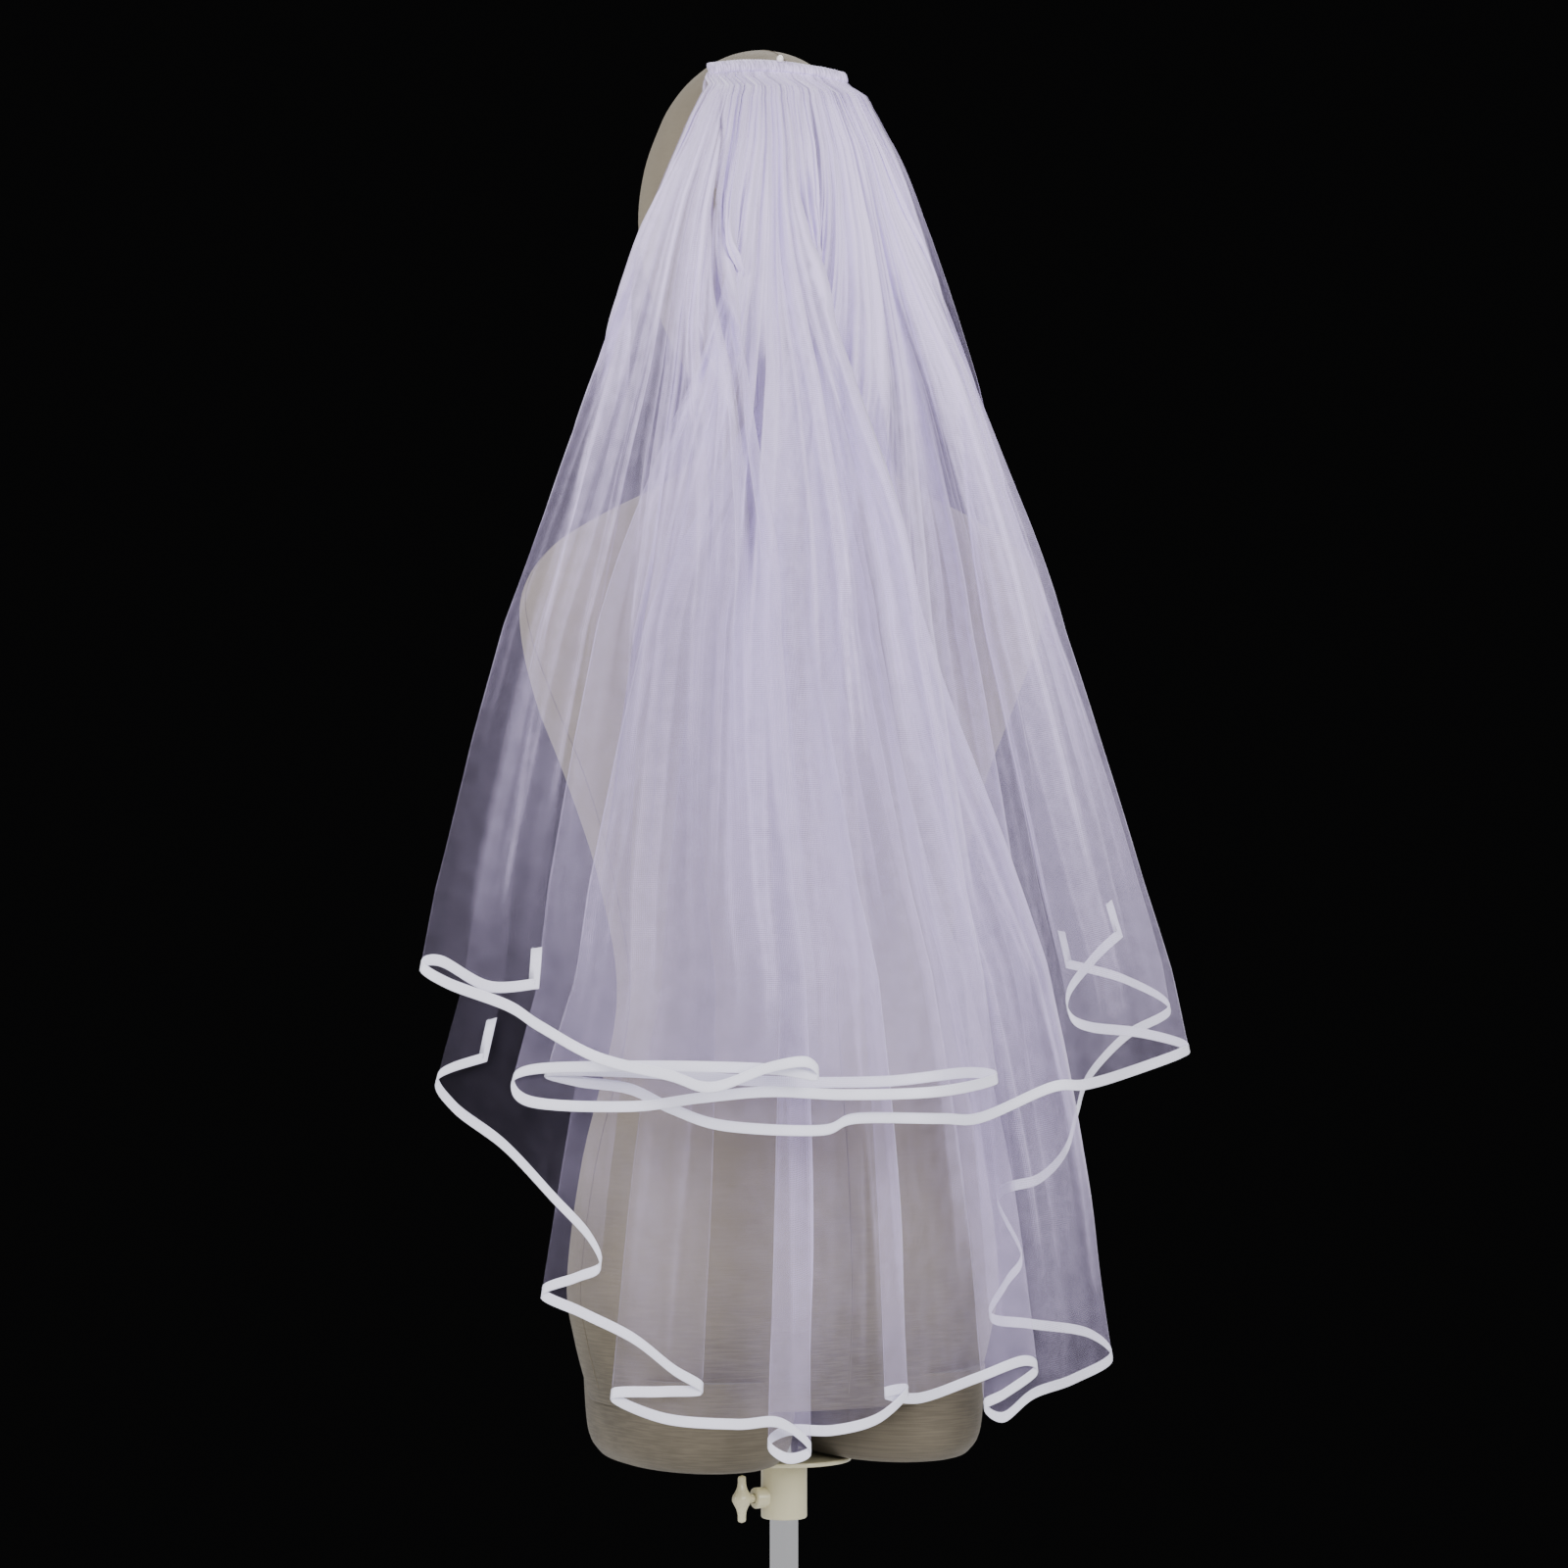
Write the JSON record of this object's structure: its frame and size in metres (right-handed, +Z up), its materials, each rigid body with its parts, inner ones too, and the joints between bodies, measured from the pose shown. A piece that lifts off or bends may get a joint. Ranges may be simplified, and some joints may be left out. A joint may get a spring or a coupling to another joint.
{
  "type": "two-tier bridal veil on a dress form stand",
  "caption": "Two-tier tulle bridal veil with ribbon-bound edges, gathered on a comb at the crown of a smooth limbless dress form on a pole stand with a round base.",
  "frame": {"origin": "middle of the underside of the round base", "axes": "+Z up along the pole, -Y the way the dress form faces, +X to the form's left"},
  "size_m": [0.6012, 0.4037, 1.699],
  "materials": {
    "tulle": "fine soft net, lavender white, see-through, denser where it gathers",
    "ribbon": "satin, bright white, one stitch line",
    "comb": "clear white plastic",
    "pearl": "pearl",
    "canvas": "cream linen canvas, stretched, matt",
    "paint": "pale cream gloss paint",
    "chrome": "polished"
  },
  "bodies": {
    "base": {"base_plate": "paint", "base_hub": "paint"},
    "pole": {"pole": "chrome"},
    "form": {"dress_form": "canvas", "flange_plate": "paint", "collar": "paint", "comb": "comb", "pin_head": "pearl", "gathered_heading": "tulle", "veil_upper_tier": "tulle", "veil_lower_tier": "tulle", "upper_ribbon_edge": "ribbon", "lower_ribbon_edge": "ribbon"},
    "clamp": {"wing_screw": "paint"}
  },
  "joints": [
    {"name": "form_turn", "type": "hinge", "parent": "base", "child": "pole", "pos_m": [0, 0, 0], "axis": [0, 0, 1], "continuous": true},
    {"name": "form_height", "type": "slide", "parent": "pole", "child": "form", "axis": [0, 0, 1], "range_m": [-0.1, 0.15]},
    {"name": "screw_turn", "type": "hinge", "parent": "form", "child": "clamp", "pos_m": [0, 0, 0.7205], "axis": [0.9986, 0.0523, 0], "continuous": true}
  ]
}
